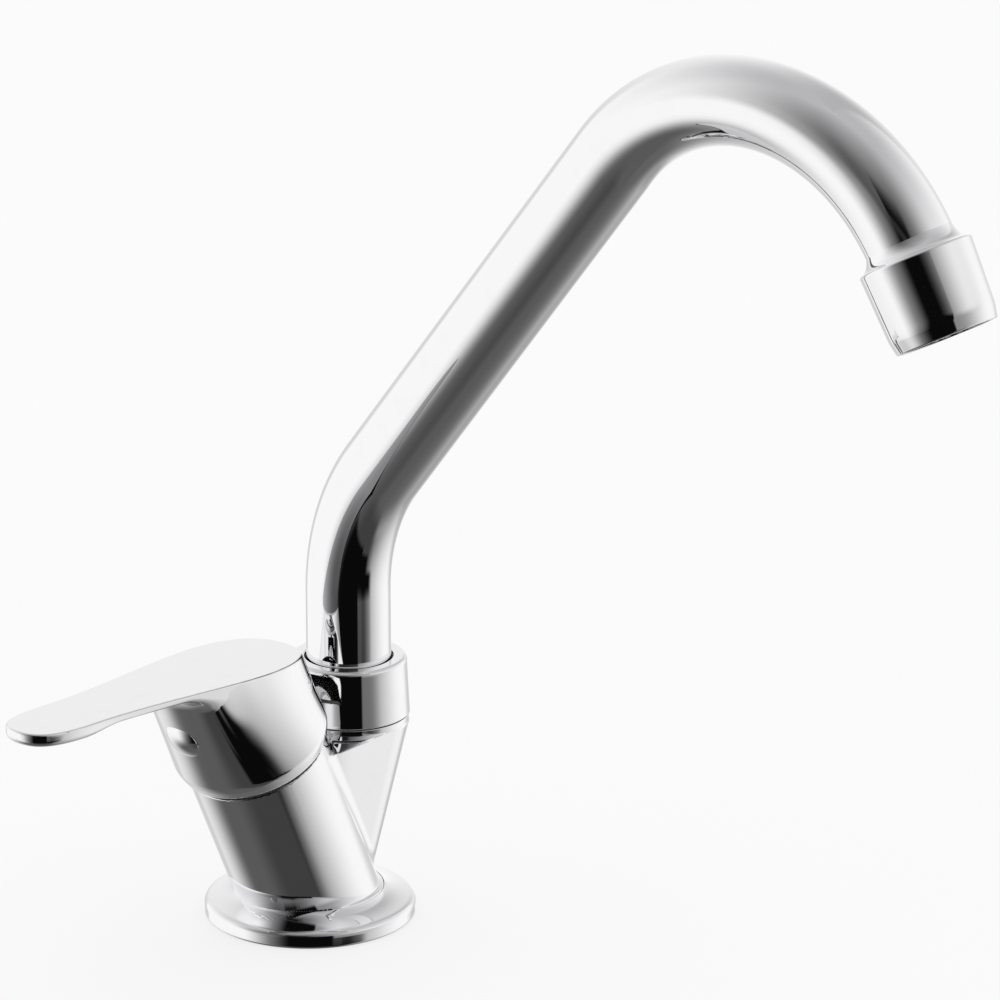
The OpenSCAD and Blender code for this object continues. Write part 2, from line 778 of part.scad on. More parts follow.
module flow_former() {
  former_h = insert_len - 3;
  hole_r = 0.9;
  outer_ring_r = former_r - 2.4;
  inner_ring_r = former_r - 5.6;
  middle_r = 1.4;
  color("whitesmoke") past_arch() translate([0, 0, insert_s]) difference() {
    cylinder(r = former_r - run_fit, h = former_h);
    for (k = [0 : 2 * jet_count - 1]) rotate([0, 0, k * 180 / jet_count])
      translate([outer_ring_r, 0, -cut]) cylinder(r = hole_r, h = former_h + 2 * cut);
    for (k = [0 : jet_count - 1]) rotate([0, 0, k * 360 / jet_count])
      translate([inner_ring_r, 0, -cut]) cylinder(r = hole_r, h = former_h + 2 * cut);
    translate([0, 0, -cut]) cylinder(r = middle_r, h = former_h + 2 * cut);
  }
}

module aerator_screen() {
  screen_h = 0.5;
  screen_drop = 1.6;
  step = 2;
  reach = 8;
  mesh_r = 0.95;
  rim_w = 1.8;
  color("silver") past_arch() translate([0, 0, insert_s + insert_len - screen_drop])
    difference() {
      cylinder(r = former_r - run_fit, h = screen_h);
      for (x = [-reach : step : reach], y = [-reach : step : reach])
        if (norm([x, y]) < former_r - rim_w) translate([x, y, -cut]) rotate([0, 0, 45])
          cylinder(r = mesh_r, h = screen_h + 2 * cut, $fn = 4);
    }
}

base_flange();
base_gasket();
mixer_body();
cartridge_base();
port_seals();
case_seal();
fixed_disc();
moving_disc();
disc_carrier();
cartridge_case();
turn_collar();
stem_pin();
lever_stem();
cartridge_nut();
cover_ring();
handle();
grub_screw();
handle_plug();
thrust_washer();
spout_bush();
spout_seals();
slip_ring();
collar_nut();
spout_tube();
outlet_housing();
aerator_washer();
aerator_body();
flow_former();
aerator_screen();
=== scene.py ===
import itertools
import math

import bpy
import numpy as np
from mathutils import Matrix, Vector


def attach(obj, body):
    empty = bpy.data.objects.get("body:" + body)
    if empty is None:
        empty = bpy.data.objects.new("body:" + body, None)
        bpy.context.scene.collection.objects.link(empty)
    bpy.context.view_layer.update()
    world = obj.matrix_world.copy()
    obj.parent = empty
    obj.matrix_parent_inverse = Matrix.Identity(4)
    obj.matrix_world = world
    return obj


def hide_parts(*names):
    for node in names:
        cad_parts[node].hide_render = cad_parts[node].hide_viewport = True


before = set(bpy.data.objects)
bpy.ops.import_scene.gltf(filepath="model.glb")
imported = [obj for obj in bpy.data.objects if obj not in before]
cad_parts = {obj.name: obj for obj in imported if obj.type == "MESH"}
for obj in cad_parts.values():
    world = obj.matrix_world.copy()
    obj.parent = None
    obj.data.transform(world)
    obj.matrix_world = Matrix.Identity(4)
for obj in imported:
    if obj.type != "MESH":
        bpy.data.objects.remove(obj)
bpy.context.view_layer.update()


# Base flange
# A round cover pressed from brass and chrome plated. It lies loose on the basin and hides the
# edge of the hole; the foot of the body comes down through its middle and holds it.

MM = 0.001
FLANGE_R = 32.4
RIM_H = 5.6
RIM_EDGE = 2.2
FOOT_EDGE = 1.2
ROOM_R = 28.6
FOOT_R = 22.6
FOOT_H = 9.0
GASKET_H = 1.2
HOLE_GAP = 0.05
HOLE_EDGE = 0.15
HOLE_DOWN = 0.5
CHROME = (0.93, 0.93, 0.94)
CHROME_WORN = (0.912, 0.912, 0.922)
# Scales of the waves and marks on metal, and the strength and height in metres of its bumps
METAL_WAVES = 60.0
METAL_MARKS = 140.0
METAL_BUMP = 0.3
METAL_BUMP_H = 0.00002


def arc(centre, radius, start, end, steps):
    """Points (radius, height) on an arc from the start angle to the end angle, in degrees."""
    angles = np.radians(np.linspace(start, end, steps + 1))
    return [(centre[0] + radius * math.cos(a), centre[1] + radius * math.sin(a)) for a in angles]


def bend(p, steps):
    """Points on a cubic curve from p[0] to p[3], without its first one."""
    t = np.linspace(0, 1, steps + 1)[1:, None]
    a, b, c, d = np.array(p, float)
    return ((1 - t) ** 3 * a + 3 * (1 - t) ** 2 * t * b + 3 * (1 - t) * t**2 * c + t**3 * d).tolist()


def add_piece(name, points, faces, corner_normals):
    """Puts a mesh, given in millimetres, into the scene with its own normals."""
    mesh = bpy.data.meshes.new(name)
    mesh.from_pydata((np.array(points) * MM).tolist(), [], faces)
    mesh.polygons.foreach_set("use_smooth", [True] * len(mesh.polygons))
    mesh.normals_split_custom_set(corner_normals)
    piece = bpy.data.objects.new(name, mesh)
    bpy.context.scene.collection.objects.link(piece)
    return piece


def turned(name, outline, place, sides=192, crisp=35):
    """A turned piece. The closed outline (radius, height) runs anticlockwise; a corner sharper
    than crisp degrees stays an edge."""
    outline = np.array(outline, float)
    count = len(outline)
    run = np.roll(outline, -1, 0) - outline
    length = np.hypot(run[:, 0], run[:, 1])
    facing = np.stack([run[:, 1], -run[:, 0]], 1) / length[:, None]
    before = np.roll(facing, 1, 0)
    mixed = facing * length[:, None] + before * np.roll(length, 1)[:, None]
    mixed /= np.linalg.norm(mixed, axis=1)[:, None]
    smooth = (facing * before).sum(1) > math.cos(math.radians(crisp))
    at_start = np.where(smooth[:, None], mixed, facing)
    at_end = np.where(np.roll(smooth, -1)[:, None], np.roll(mixed, -1, 0), facing)
    turn = np.linspace(0, 2 * math.pi, sides, endpoint=False)
    points = []
    first = []
    for radius, height in outline:
        first.append(len(points))
        if radius < 1e-6:
            points.append((0, 0, height))
        else:
            points += [(radius * math.cos(a), radius * math.sin(a), height) for a in turn]

    def corner(index, k):
        return first[index] + (0 if outline[index][0] < 1e-6 else k % sides)

    def swung(normal, k):
        return (normal[0] * math.cos(turn[k % sides]), normal[0] * math.sin(turn[k % sides]), normal[1])

    faces = []
    normals = []
    for index in range(count):
        after = (index + 1) % count
        if outline[index][0] < 1e-6 and outline[after][0] < 1e-6:
            continue
        for k in range(sides):
            face = []
            lights = []
            for ring, step, normal in (
                (index, k, at_start), (index, k + 1, at_start), (after, k + 1, at_end), (after, k, at_end)
            ):
                vertex = corner(ring, step)
                if vertex not in face:
                    face.append(vertex)
                    lights.append(swung(normal[index], step))
            faces.append(face)
            normals += lights
    turned_by = place.to_3x3()
    points = [place @ Vector(p) for p in points]
    return add_piece(name, points, faces, [turned_by @ Vector(n) for n in normals])


def shader(name):
    """An empty node material: the material, its nodes, its links and its output node."""
    material = bpy.data.materials.new(name)
    material.use_nodes = True
    tree = material.node_tree
    tree.nodes.clear()
    return material, tree.nodes, tree.links, tree.nodes.new("ShaderNodeOutputMaterial")


def new_group(name, inputs, outputs):
    """A shader node group with named inputs (name, kind, default) and outputs (name, kind)."""
    group = bpy.data.node_groups.new(name, "ShaderNodeTree")
    for label, kind, default in inputs:
        socket = group.interface.new_socket(label, in_out="INPUT", socket_type=kind)
        socket.default_value = default
    for label, kind in outputs:
        group.interface.new_socket(label, in_out="OUTPUT", socket_type=kind)
    return group, group.nodes.new("NodeGroupInput"), group.nodes.new("NodeGroupOutput")


# Polish: faint waves left by the buffing wheel, dried drops and wipe marks
polish, polish_in, polish_out = new_group(
    "polish",
    [("Wave Scale", "NodeSocketFloat", METAL_WAVES), ("Mark Scale", "NodeSocketFloat", METAL_MARKS),
     ("Smooth", "NodeSocketFloat", 0.02), ("Marked", "NodeSocketFloat", 0.06)],
    [("Roughness", "NodeSocketFloat"), ("Height", "NodeSocketFloat"), ("Marks", "NodeSocketFloat")],
)
place_node = polish.nodes.new("ShaderNodeTexCoord")
waves = polish.nodes.new("ShaderNodeTexNoise")
waves.inputs["Detail"].default_value = 1.5
marks = polish.nodes.new("ShaderNodeTexNoise")
marks.inputs["Detail"].default_value = 6
marks.inputs["Roughness"].default_value = 0.6
mark_mask = polish.nodes.new("ShaderNodeMapRange")
mark_mask.inputs["From Min"].default_value = 0.52
mark_mask.inputs["From Max"].default_value = 0.74
rough_range = polish.nodes.new("ShaderNodeMapRange")
polish.links.new(place_node.outputs["Object"], waves.inputs["Vector"])
polish.links.new(place_node.outputs["Object"], marks.inputs["Vector"])
polish.links.new(polish_in.outputs["Wave Scale"], waves.inputs["Scale"])
polish.links.new(polish_in.outputs["Mark Scale"], marks.inputs["Scale"])
polish.links.new(marks.outputs["Fac"], mark_mask.inputs["Value"])
polish.links.new(mark_mask.outputs["Result"], rough_range.inputs["Value"])
polish.links.new(polish_in.outputs["Smooth"], rough_range.inputs["To Min"])
polish.links.new(polish_in.outputs["Marked"], rough_range.inputs["To Max"])
polish.links.new(rough_range.outputs["Result"], polish_out.inputs["Roughness"])
polish.links.new(waves.outputs["Fac"], polish_out.inputs["Height"])
polish.links.new(mark_mask.outputs["Result"], polish_out.inputs["Marks"])


def coated(name, shades, roughness, scales, strength, height, metallic=0.0):
    """A surface of two shades under the polish group. Roughness is a pair, smooth and marked;
    scales are those of its waves and marks; strength and height are those of the bumps."""
    material, nodes, links, output = shader(name)
    surface = nodes.new("ShaderNodeBsdfPrincipled")
    surface.inputs["Metallic"].default_value = metallic
    finish = nodes.new("ShaderNodeGroup")
    finish.node_tree = polish
    for label, value in zip(("Wave Scale", "Mark Scale", "Smooth", "Marked"), (*scales, *roughness)):
        finish.inputs[label].default_value = value
    tint = nodes.new("ShaderNodeMix")
    tint.data_type = "RGBA"
    tint.inputs["A"].default_value = (*shades[0], 1)
    tint.inputs["B"].default_value = (*shades[1], 1)
    bump = nodes.new("ShaderNodeBump")
    bump.inputs["Strength"].default_value = strength
    bump.inputs["Distance"].default_value = height
    links.new(finish.outputs["Marks"], tint.inputs["Factor"])
    links.new(tint.outputs["Result"], surface.inputs["Base Color"])
    links.new(finish.outputs["Roughness"], surface.inputs["Roughness"])
    links.new(finish.outputs["Height"], bump.inputs["Height"])
    links.new(bump.outputs["Normal"], surface.inputs["Normal"])
    links.new(surface.outputs["BSDF"], output.inputs["Surface"])
    return material


def plated(name, clean, worn, smooth, marked):
    """Polished or turned metal: clean and worn shades, smooth and marked roughness."""
    return coated(name, (clean, worn), (smooth, marked), (METAL_WAVES, METAL_MARKS),
                  METAL_BUMP, METAL_BUMP_H, metallic=1.0)


chrome = plated("polished_chrome", CHROME, CHROME_WORN, smooth=0.015, marked=0.045)

hole_r = FOOT_R + HOLE_GAP
contact_r = FLANGE_R - FOOT_EDGE
upright = Matrix.Identity(4)

# Room for the seal, lower edge, rim, hollow sweep up to the foot, and the hole's rounded edge
flange_outline = (
    [(hole_r, GASKET_H), (ROOM_R, GASKET_H), (ROOM_R, 0)]
    + arc((contact_r, FOOT_EDGE), FOOT_EDGE, -90, 0, 10)
    + arc((FLANGE_R - RIM_EDGE, RIM_H - RIM_EDGE), RIM_EDGE, 0, 76, 10)
    + bend([(FLANGE_R - RIM_EDGE + 0.3, RIM_H), (FLANGE_R - 5, RIM_H + 0.5),
            (FOOT_R + 1.9, FOOT_H - 2.2), (hole_r + 0.25, FOOT_H - 0.4)], 40)
    + arc((hole_r + HOLE_EDGE, FOOT_H - HOLE_DOWN), HOLE_EDGE, 45, 180, 5)
)
flange_cover = turned("flange_cover", flange_outline, upright)
flange_cover.data.materials.append(chrome)
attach(flange_cover, "body")
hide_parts("base_flange")


# Rubber seal under the foot
# A flat ring of black rubber that keeps water out of the hole. It is moulded, slightly grainy,
# and lies in the room under the flange, pressed down by the foot.

RUBBER = (0.025, 0.025, 0.027)
RUBBER_DUSTY = (0.06, 0.058, 0.055)
# What marks add to the roughness of a moulded surface, and the strength of its grain
GRAIN_MARKED = 0.2
GRAIN_BUMP = 0.5


def moulded(name, clean, dusty, roughness, grain, height):
    """Moulded rubber, plastic or ceramic: two shades and a fine grain."""
    return coated(name, (clean, dusty), (roughness, min(roughness + GRAIN_MARKED, 1)),
                  (grain, grain / 3), GRAIN_BUMP, height)


def finish_node(node, material):
    """Gives a node of the frame its material."""
    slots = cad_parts[node].data.materials
    if not slots:
        slots.append(material)
    for index in range(len(slots)):
        slots[index] = material


rubber = moulded("black_rubber", RUBBER, RUBBER_DUSTY, roughness=0.55, grain=900, height=0.00003)
finish_node("base_gasket", rubber)


# Body casting
# One brass casting, ground, polished and chrome plated: the round foot, the barrel that leans
# towards the lever, the post under the spout and the web that joins them to the foot.

LEAN = 24.2
AXIS_FRONT = 1.6
BARREL_LEN = 55.4
BARREL_R = 21.8
BARREL_FOOT_R = 21.3
POST_Y = 18.4
COLLAR_Z = 60.4
COLLAR_H = 18.0
COLLAR_R = 18.7
COLLAR_TOP_R = 17.9
BAND_H = 2.0
WEB_FOOT_Y = 8.0
WEB_FOOT_R = 13.2
SOCKET_R = 11.0
SOCKET_DEPTH = 22.0
NECK_R = 15.6
NECK_TOP = 72.0
CART_R = 17.55
NUT_R = 19.05
SEAT_S = 18.0
SHOULDER_S = 49.02
# Tapped holes in the foot: x, y, radius and depth
STUD = (0.0, 12.0, 3.4, 12.0)
HOT = (-8.0, -3.0, 4.5, 11.0)
COLD = (8.0, -3.0, 4.5, 10.0)
# Fillets, edges, web and band
CREASE = 1.6
BARREL_EDGE = 0.3
SUNK = 0.05
FOOT_ROUND = 0.9
FOOT_FILLET = 0.6
BORE_EDGE = 0.2
NECK_LEN = 12.5
LEDGE_Y = -9.0
LEDGE_HALF = 18.4
LEDGE_Z = 57.4
LEDGE_EDGE = 0.9
BAND_GAP = 0.1
BAND_EDGE = 0.2
BAND_IN = 0.3
BAND_DEEP = 3.5
BAND_CORE_IN = 0.9
BAND_CORE_LOW = 4.4
BAND_CORE_HIGH = 0.4
# Height and inset of the dark ring above the band, painted shadow for the gap under the collar nut
SHADE_RING_H = 0.45
SHADE_RING_IN = 0.75
# The barrel's top steps in to a spigot, painted near-black as the shadow gap under the cap
SPIGOT_R = 21.2
SPIGOT_LEN = 1.0
# Near-black metal colours, painted shade for the seam under the cap and for the cap's inside
PAINTED_SHADE = (0.06, 0.058, 0.055)
PAINTED_SHADE_DEEP = (0.03, 0.03, 0.03)
lean_sin = math.sin(math.radians(LEAN))
lean_cos = math.cos(math.radians(LEAN))


def rounded_join(a, b, radius):
    """Both solids, with a fillet of this radius between them; a and b are distances."""
    return np.maximum(radius, np.minimum(a, b)) - np.hypot(
        np.maximum(radius - a, 0), np.maximum(radius - b, 0)
    )


def rounded_meet(a, b, radius):
    """What both solids share, with its edge rounded to this radius."""
    return np.minimum(-radius, np.maximum(a, b)) + np.hypot(
        np.maximum(radius + a, 0), np.maximum(radius + b, 0)
    )


def between(value, low, high):
    """Distance to a slab, negative between its two faces."""
    return np.abs(value - (low + high) / 2) - (high - low) / 2


def barrel_axes(points):
    """Distance behind the barrel's axis and station along it, from the foot."""
    forward = points[:, 1] + AXIS_FRONT
    up = points[:, 2] - FOOT_H
    return forward * lean_cos + up * lean_sin, up * lean_cos - forward * lean_sin


def steepness(depth, points, reach=0.01):
    """Slope of a distance at each point."""
    slope = np.empty_like(points)
    for axis in range(3):
        shift = np.zeros(3)
        shift[axis] = reach
        slope[:, axis] = (depth(points + shift) - depth(points - shift)) / (2 * reach)
    return slope


def onto_surface(depth, points, limit, rounds):
    """Moves points down the slope until they lie on the surface."""
    for _ in range(rounds):
        slope = steepness(depth, points)
        amount = depth(points) / np.maximum((slope * slope).sum(1), 1e-6)
        points = points - np.clip(amount, -limit, limit)[:, None] * slope
    return points


def cast(name, depth, low, high, step):
    """A cast piece: the closed skin where depth, a distance in millimetres that is negative
    inside, is zero. Its points are placed on the skin, and its normals are the skin's own."""
    block = 4
    reach = 1.4 * block * step
    low = np.array(low, float)

    # Distances block by block, then cell by cell in the blocks that the skin may cross
    blocks = np.ceil((np.array(high) - low) / (block * step)).astype(int)
    middles = [low[a] + step * block * (np.arange(blocks[a]) + 0.5) for a in range(3)]
    grid = np.stack(np.meshgrid(*middles, indexing="ij"), -1).reshape(-1, 3)
    rough = depth(grid).reshape(blocks)
    field = rough.repeat(block, 0).repeat(block, 1).repeat(block, 2)
    near = np.argwhere(np.abs(rough) < reach)
    inner = np.array(list(itertools.product(range(block), repeat=3)))
    index = (near[:, None] * block + inner).reshape(-1, 3)
    field[tuple(index.T)] = depth(low + step * (index + 0.5))
    inside = field < 0

    # One point for each group of eight cells that lies partly inside
    size = np.array(inside.shape) - 1
    filled = np.zeros(size, np.int8)
    for i, j, k in itertools.product((0, 1), repeat=3):
        filled += inside[i : i + size[0], j : j + size[1], k : k + size[2]]
    crossed = (filled > 0) & (filled < 8)
    number = np.full(size, -1)
    number[crossed] = np.arange(crossed.sum())
    points = low + step * (np.argwhere(crossed) + 1.0)

    # A face between each pair of neighbour cells of which one is inside
    faces = []
    for axis in range(3):
        near_side = [slice(None)] * 3
        far_side = [slice(None)] * 3
        near_side[axis] = slice(None, -1)
        far_side[axis] = slice(1, None)
        start = inside[tuple(near_side)]
        edges = np.argwhere(start != inside[tuple(far_side)])
        b, c = np.roll(np.eye(3, dtype=int), -1 - axis, 0)[:2]
        around = np.stack([edges, edges - b, edges - b - c, edges - c], 1)
        quads = number[tuple(np.moveaxis(around, 2, 0))]
        flip = ~start[tuple(edges.T)]
        quads[flip] = quads[flip][:, ::-1]
        faces.append(quads)
    faces = np.concatenate(faces)

    # The points move onto the skin and spread evenly over it
    points = onto_surface(depth, points, step, 4)
    shared = np.bincount(faces.ravel(), minlength=len(points))[:, None]
    for _ in range(2):
        centres = points[faces].mean(1)
        pulled = np.stack(
            [np.bincount(faces.ravel(), centres[:, a].repeat(4), len(points)) for a in range(3)], 1
        )
        points = onto_surface(depth, pulled / shared, step, 2)
    normals = steepness(depth, points)
    normals /= np.linalg.norm(normals, axis=1)[:, None]
    return add_piece(name, points, faces.tolist(), normals[faces.ravel()].tolist())


def post_hole(points, hole):
    """Distance to an upright tapped hole, given as x, y, radius and depth."""
    wide = np.hypot(points[:, 0] - hole[0], points[:, 1] - hole[1]) - hole[2]
    return np.maximum(wide, points[:, 2] - GASKET_H - hole[3])


def web_ledge(points, top):
    """The web's upper end: it slopes from a straight front edge in the barrel up to the post's
    round band."""
    x, y, z = points.T
    rise = np.clip((z - LEDGE_Z) / (top - LEDGE_Z), 0, 1)
    past = np.maximum(np.abs(x) - LEDGE_HALF * (1 - rise), 0)
    ahead = y - LEDGE_Y - (POST_Y - LEDGE_Y) * rise
    front = np.where(ahead < 0, np.hypot(past, ahead), past - ahead) - COLLAR_R * rise
    slope = (top - LEDGE_Z) / (POST_Y - COLLAR_R - LEDGE_Y)
    return np.maximum(front * slope / math.hypot(1, slope), z - top)


def body_depth(points):
    """Distance to the body casting's skin, negative inside the metal."""
    x, y, z = points.T
    behind, along = barrel_axes(points)
    from_axis = np.hypot(x, behind)
    from_post = np.hypot(x, y - POST_Y)
    taper = (BARREL_R - BARREL_FOOT_R) / BARREL_LEN
    barrel = rounded_meet(from_axis - BARREL_FOOT_R - taper * along,
                          along - BARREL_LEN + SPIGOT_LEN, BARREL_EDGE)
    barrel = np.maximum(barrel, FOOT_H - SUNK - z)
    web_top = COLLAR_Z - BAND_H - BAND_GAP
    rise = np.clip((z - FOOT_H) / (web_top - FOOT_H), 0, 1)
    web_y = WEB_FOOT_Y + (POST_Y - WEB_FOOT_Y) * rise
    web_r = WEB_FOOT_R + (COLLAR_R - WEB_FOOT_R) * rise
    web = np.hypot(x, np.maximum(y - web_y, 0)) - web_r
    web = rounded_meet(web, web_ledge(points, web_top), LEDGE_EDGE)
    web = np.maximum(web, FOOT_H - 1 - z)
    band = np.maximum(from_post - COLLAR_R + BAND_CORE_IN,
                      between(z, COLLAR_Z - BAND_CORE_LOW, COLLAR_Z - BAND_CORE_HIGH))
    neck = np.maximum(from_post - NECK_R, between(z, NECK_TOP - NECK_LEN, NECK_TOP))
    foot = rounded_meet(np.hypot(x, y) - FOOT_R, z - FOOT_H, FOOT_ROUND)
    foot = np.maximum(foot, GASKET_H - z)
    solid = rounded_join(barrel, web, CREASE)
    solid = rounded_join(solid, foot, FOOT_FILLET)
    solid = np.minimum(solid, np.minimum(band, neck))
    chamber = np.maximum(from_axis - CART_R, SEAT_S - along)
    nut_room = np.maximum(from_axis - NUT_R, SHOULDER_S - along)
    socket = np.maximum(from_post - SOCKET_R, COLLAR_Z - SOCKET_DEPTH - z)
    holes = np.minimum(np.minimum(chamber, nut_room), socket)
    for hole in (STUD, HOT, COLD):
        holes = np.minimum(holes, post_hole(points, hole))
    return rounded_meet(solid, -holes, BORE_EDGE)


coarse = 1.0
BODY_GRID = 0.55
body_casting = cast("body_casting", body_depth, (-24, -51, 0), (24, 39, 74), BODY_GRID * coarse)
body_casting.data.materials.append(chrome)
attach(body_casting, "body")
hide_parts("mixer_body")

# The post's round band, turned true after casting, and above it a thin dark ring of painted shadow for the
# gap under the collar nut
on_post = Matrix.Translation((0, POST_Y, 0))
band_r = COLLAR_R - BAND_IN
band_low = COLLAR_Z - BAND_DEEP
band_top = COLLAR_Z - SHADE_RING_H
bore_r = NECK_R + HOLE_GAP
band_outline = (
    [(bore_r, band_low), (band_r, band_low)]
    + arc((band_r - BAND_EDGE, band_top - BAND_EDGE), BAND_EDGE, 0, 90, 4)
    + [(bore_r, band_top)]
)
post_band = turned("post_band", band_outline, on_post)
post_band.data.materials.append(chrome)
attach(post_band, "body")
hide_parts("mixer_body")

# Dark, dull metal colour as painted shade: the spigot at the barrel's top stands for the shadow gap under
# the cap's lip, and the inside of the cap is painted dark
painted_shade_metal = moulded("painted_shade_metal", PAINTED_SHADE, PAINTED_SHADE_DEEP, roughness=0.6, grain=400, height=0.00004)
on_foot = (
    Matrix.Translation((0, -AXIS_FRONT, FOOT_H)) @ Matrix.Rotation(math.radians(LEAN), 4, "X")
)
spigot_low = BARREL_LEN - 2 * SPIGOT_LEN
spigot_outline = [(NUT_R, spigot_low), (SPIGOT_R, spigot_low), (SPIGOT_R, BARREL_LEN),
                  (NUT_R, BARREL_LEN)]
barrel_spigot_shade = turned("barrel_spigot_shade", spigot_outline, on_foot)
barrel_spigot_shade.data.materials.append(painted_shade_metal)
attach(barrel_spigot_shade, "body")
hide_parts("mixer_body")

# A ring in black rubber colour as painted shadow in the gap between the band and the collar nut
shade_ring_r = COLLAR_R - SHADE_RING_IN
shade_ring_outline = [(bore_r, band_top), (shade_ring_r, band_top), (shade_ring_r, COLLAR_Z), (bore_r, COLLAR_Z)]
post_shade_ring = turned("post_shade_ring", shade_ring_outline, on_post)
post_shade_ring.data.materials.append(rubber)
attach(post_shade_ring, "body")
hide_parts("mixer_body")


# Cartridge
# The valve itself, pushed into the barrel from above: a white plastic base and case, two
# polished ceramic discs, a carrier, a turning collar and the steel stem on its pin.

PLASTIC = (0.78, 0.78, 0.76)
PLASTIC_AGED = (0.68, 0.67, 0.63)
CERAMIC = (0.84, 0.82, 0.77)
CERAMIC_WORN = (0.72, 0.69, 0.63)
STEEL = (0.62, 0.61, 0.60)
STEEL_WORN = (0.45, 0.44, 0.43)

white_plastic = moulded("white_plastic", PLASTIC, PLASTIC_AGED, roughness=0.38, grain=500, height=0.00002)
ceramic = moulded("lapped_ceramic", CERAMIC, CERAMIC_WORN, roughness=0.12, grain=700, height=0.000005)
steel = plated("turned_steel", STEEL, STEEL_WORN, smooth=0.22, marked=0.4)
for node in ("cartridge_base", "disc_carrier", "cartridge_case", "turn_collar"):
    finish_node(node, white_plastic)
for node in ("fixed_disc", "moving_disc"):
    finish_node(node, ceramic)
for node in ("port_seals", "case_seal"):
    finish_node(node, rubber)
for node in ("stem_pin", "lever_stem", "grub_screw"):
    finish_node(node, steel)


# Nut and cover ring
# A turned brass nut screws down on the cartridge. A thin chrome ring, spherical so that the cap
# can tilt over it, snaps on the nut's neck and hides it.

BRASS = (0.72, 0.52, 0.25)
BRASS_DULL = (0.45, 0.31, 0.15)
PIVOT_S = 51.4
RING_R = 18.5
RING_WALL = 1.6
RING_HOLE_R = 12.5
NUT_NECK_R = 15.25
NUT_NECK_TOP = BARREL_LEN + 4.1
RING_GAP = 0.02
RING_LIP = 0.01

brass = plated("turned_brass", BRASS, BRASS_DULL, smooth=0.2, marked=0.42)
finish_node("cartridge_nut", brass)


def on_barrel(along):
    """Place on the barrel's axis, at a station measured from the foot."""
    return on_foot @ Matrix.Translation((0, 0, along))


def sphere_arc(radius, from_r, to_r, steps):
    """Points (radius, height above the pivot) on a sphere between two radii."""
    start, end = (math.degrees(math.acos(r / radius)) for r in (from_r, to_r))
    return arc((0, 0), radius, start, end, steps)


ring_low = BARREL_LEN + RING_GAP - PIVOT_S
ring_low_r = math.sqrt(RING_R**2 - ring_low**2)
inner_r = RING_R - RING_WALL
ring_outline = [(NUT_NECK_R, ring_low), (ring_low_r, ring_low)]
ring_outline += sphere_arc(RING_R, ring_low_r, RING_HOLE_R, 40)[1:]
ring_outline += [(RING_HOLE_R, math.sqrt(inner_r**2 - RING_HOLE_R**2) + RING_LIP)]
neck_step = NUT_NECK_TOP - PIVOT_S
neck_step_r = math.sqrt(inner_r**2 - neck_step**2)
ring_outline += sphere_arc(inner_r, RING_HOLE_R, min(neck_step_r, NUT_NECK_R), 12)[1:]
ring_cover = turned("ring_cover", ring_outline, on_barrel(PIVOT_S))
ring_cover.data.materials.append(chrome)
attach(ring_cover, "body")
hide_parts("cover_ring")


# Cap and lever
# One zinc casting, polished and chrome plated. The wall runs from the round skirt up to the
# flat, spoon-shaped top face, which goes on as the thin blade of the lever to a thicker grip.

CAP_R = 24.3
BEVEL_H = 4.2
RIM_R = 22.9
SEAM_GAP = 0.3
TOP_Z = 90.8
PITCH = 2.0
LEVER_LEN = 86.5
HEAD_W = 16.8
TIP_W = 11.3
BLADE_T = 2.2
GRIP_T = 4.3
PLUG_R = 4.4
PLUG_UP = 23.3
GRUB_R = 2.52
STEM_W = 8.0
SKIRT_WALL = 0.75
CEILING_R = 14.5
BOSS_R = 9.0
RELIEF_Y = 14.8
RELIEF_LEAN = 62.8
RELIEF_EDGE = 0.3
WALL_WAVES = 12
WALL_SCALE = 0.96
UNDER_FILLET = 6.0
REAR_OUT = 1.4
LIP_EDGE = 0.8
LIP_H = 0.3
BEVEL_EDGE = 0.5
FRONT_BLEND = 1.6
TOP_EDGE = 0.7
BLADE_EDGE = 0.8
ROOT_EDGE = 0.8
ROOT_FROM = 50.0
ROOT_RUN = 25.0
GRIP_EDGE = 1.4
GRIP_AT = 0.76
GRIP_AHEAD = 12.0
GRIP_RUN = 15.0
BLADE_DEEP = 12.0
RING_ROOM = 0.8
SOCKET_PAST = 5.0
CORE_PAST = 0.5
CORE_LAP = 1.0

top_s = (TOP_Z - FOOT_H) / lean_cos
top_y = -AXIS_FRONT - top_s * lean_sin
pitch_sin = math.sin(math.radians(PITCH))
pitch_cos = math.cos(math.radians(PITCH))
relief_sin = math.sin(math.radians(RELIEF_LEAN))
relief_cos = math.cos(math.radians(RELIEF_LEAN))
face_cos = math.cos(math.radians(LEAN + PITCH))
rear_y = CAP_R / face_cos + REAR_OUT
rim_s = BARREL_LEN + SEAM_GAP
bevel_s = rim_s + BEVEL_H
plug_s = BARREL_LEN + PLUG_UP
ceiling_s = PIVOT_S + RING_R + RING_ROOM
socket_top = min(plug_s + SOCKET_PAST, top_s - SOCKET_PAST)
grip_y = -GRIP_AT * LEVER_LEN

# Half of the top face's outline, from the rear end to the tip, across and along the lever
side_line = np.array(
    [(0.0, rear_y)]
    + bend([(0, rear_y), (12.5, rear_y), (HEAD_W, 17), (HEAD_W, 2)], 160)
    + bend([(HEAD_W, 2), (HEAD_W, -14), (TIP_W + 0.3, -0.44 * LEVER_LEN),
            (TIP_W, -0.7 * LEVER_LEN)], 160)
    + bend([(TIP_W, -0.7 * LEVER_LEN), (TIP_W - 0.1, -0.82 * LEVER_LEN),
            (TIP_W + 1.2, -LEVER_LEN), (0, -LEVER_LEN)], 200)
)

